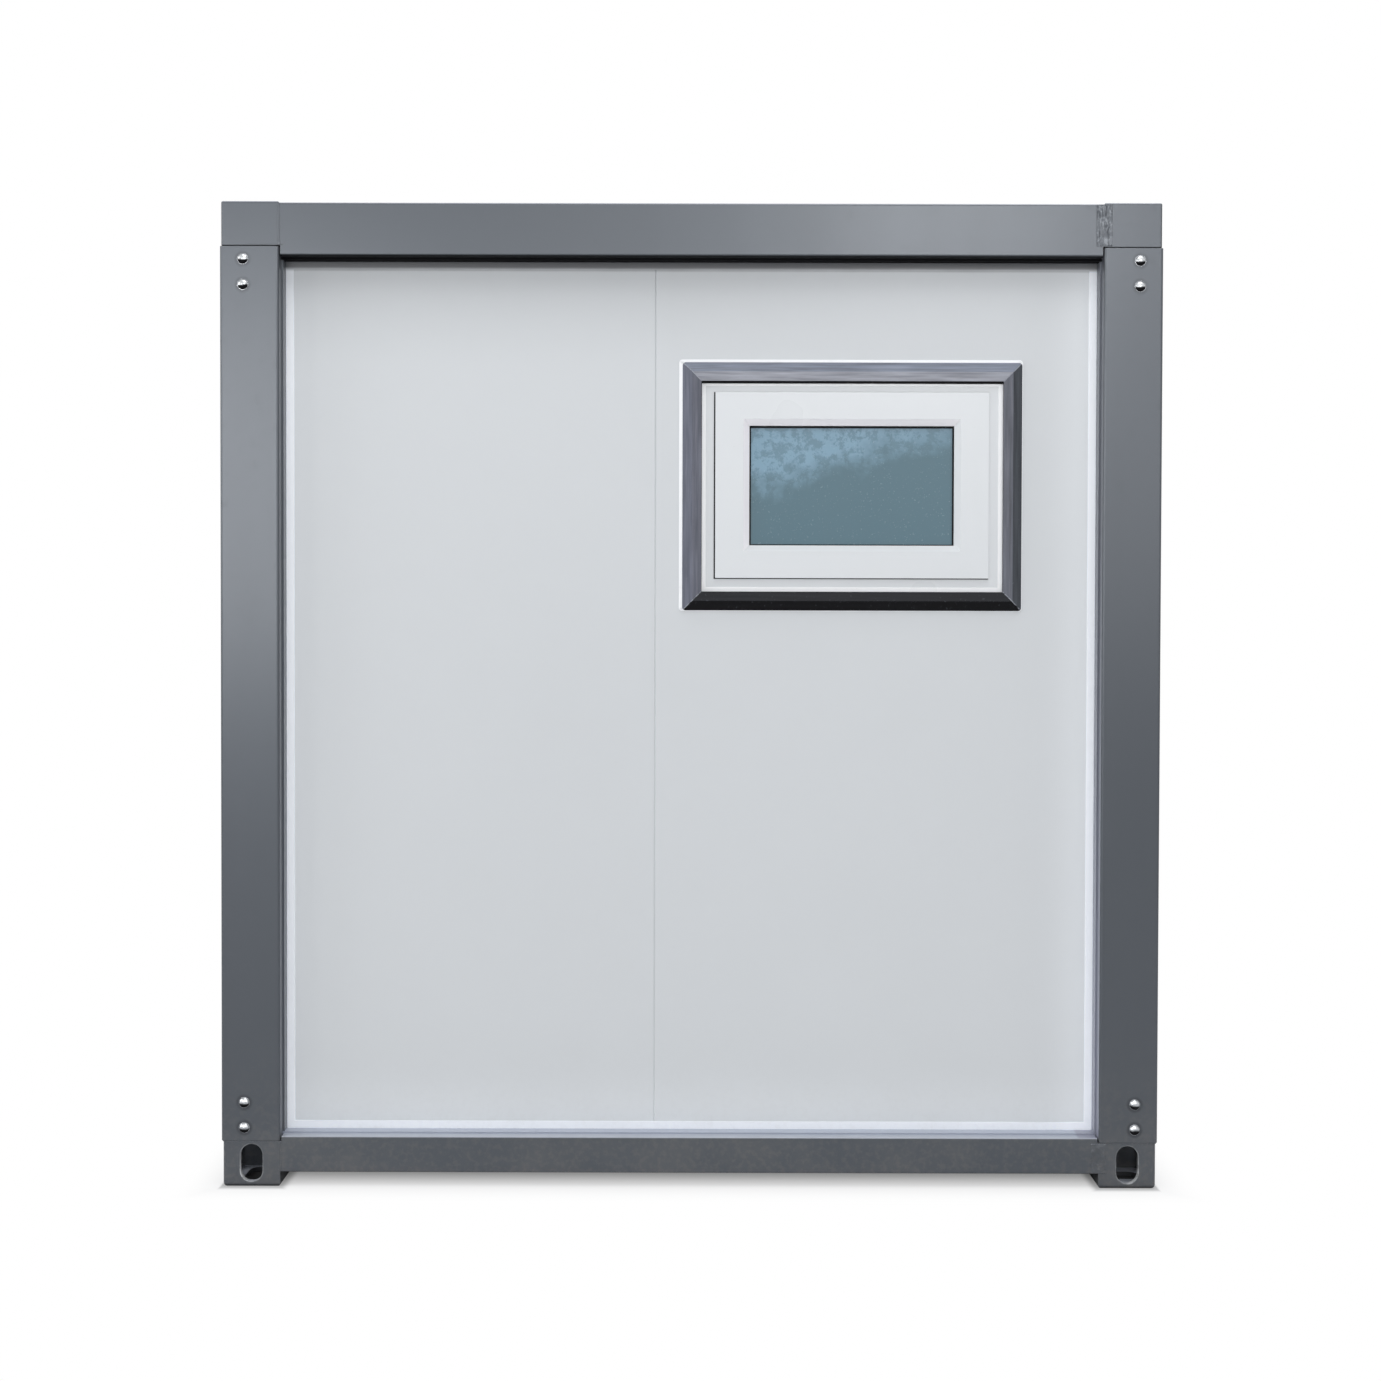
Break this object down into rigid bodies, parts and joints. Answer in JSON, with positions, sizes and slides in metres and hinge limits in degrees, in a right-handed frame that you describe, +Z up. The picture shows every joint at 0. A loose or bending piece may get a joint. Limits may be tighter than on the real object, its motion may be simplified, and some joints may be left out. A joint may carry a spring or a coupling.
{
  "type": "portable washroom cabin",
  "caption": "Square portable washroom cabin: bolted steel frame on lifting corner pieces, insulated wall panels, a high hung window in front and a door behind.",
  "frame": {"origin": "on the ground, under the middle of the plan", "axes": "+X to the right along the pictured front, +Y from the front (which faces -Y) to the back, +Z up"},
  "size_m": [2.438, 2.438, 2.56],
  "materials": {
    "frame_paint": "satin slate grey paint over the welded steel frame",
    "panel_paint": "smooth off-white coated steel skin of the sandwich panels",
    "channel_paint": "white coated steel channel",
    "window_plastic": "white window plastic, half gloss",
    "window_glass": "blue-green glass, mottled behind so that nobody sees in",
    "trim_paint": "satin grey folded trim",
    "door_frame_paint": "white coated door frame",
    "door_paint": "off-white coated door leaf",
    "handle_steel": "brushed stainless steel",
    "deck_board": "sealed floor board",
    "zinc_steel": "zinc coated cold-formed steel",
    "roof_paint": "light grey coated ribbed sheet"
  },
  "bodies": {
    "root": {"corner_foot_front_left": "frame_paint", "corner_post_front_left": "frame_paint", "corner_head_front_left": "frame_paint", "corner_foot_front_right": "frame_paint", "corner_post_front_right": "frame_paint", "corner_head_front_right": "frame_paint", "corner_foot_back_right": "frame_paint", "corner_post_back_right": "frame_paint", "corner_head_back_right": "frame_paint", "corner_foot_back_left": "frame_paint", "corner_post_back_left": "frame_paint", "corner_head_back_left": "frame_paint", "base_rail_front": "frame_paint", "roof_beam_front": "frame_paint", "wall_channel_front": "channel_paint", "wall_panel_front_left": "panel_paint", "wall_panel_front_right": "panel_paint", "base_rail_right": "frame_paint", "roof_beam_right": "frame_paint", "wall_channel_right": "channel_paint", "wall_panel_right_left": "panel_paint", "wall_panel_right_right": "panel_paint", "base_rail_back": "frame_paint", "roof_beam_back": "frame_paint", "wall_channel_back": "channel_paint", "wall_panel_back_left": "panel_paint", "wall_panel_back_right": "panel_paint", "base_rail_left": "frame_paint", "roof_beam_left": "frame_paint", "wall_channel_left": "channel_paint", "wall_panel_left_left": "panel_paint", "wall_panel_left_right": "panel_paint", "window_frame": "window_plastic", "window_sash": "window_plastic", "window_bead": "window_plastic", "window_glass": "window_glass", "window_trim": "trim_paint", "door_frame": "door_frame_paint", "door_leaf": "door_paint", "door_handle": "handle_steel", "door_hinges": "handle_steel", "floor_deck": "deck_board", "floor_joists": "zinc_steel", "ceiling_panel": "panel_paint", "roof_purlins": "zinc_steel", "roof_sheet": "roof_paint"}
  },
  "joints": []
}
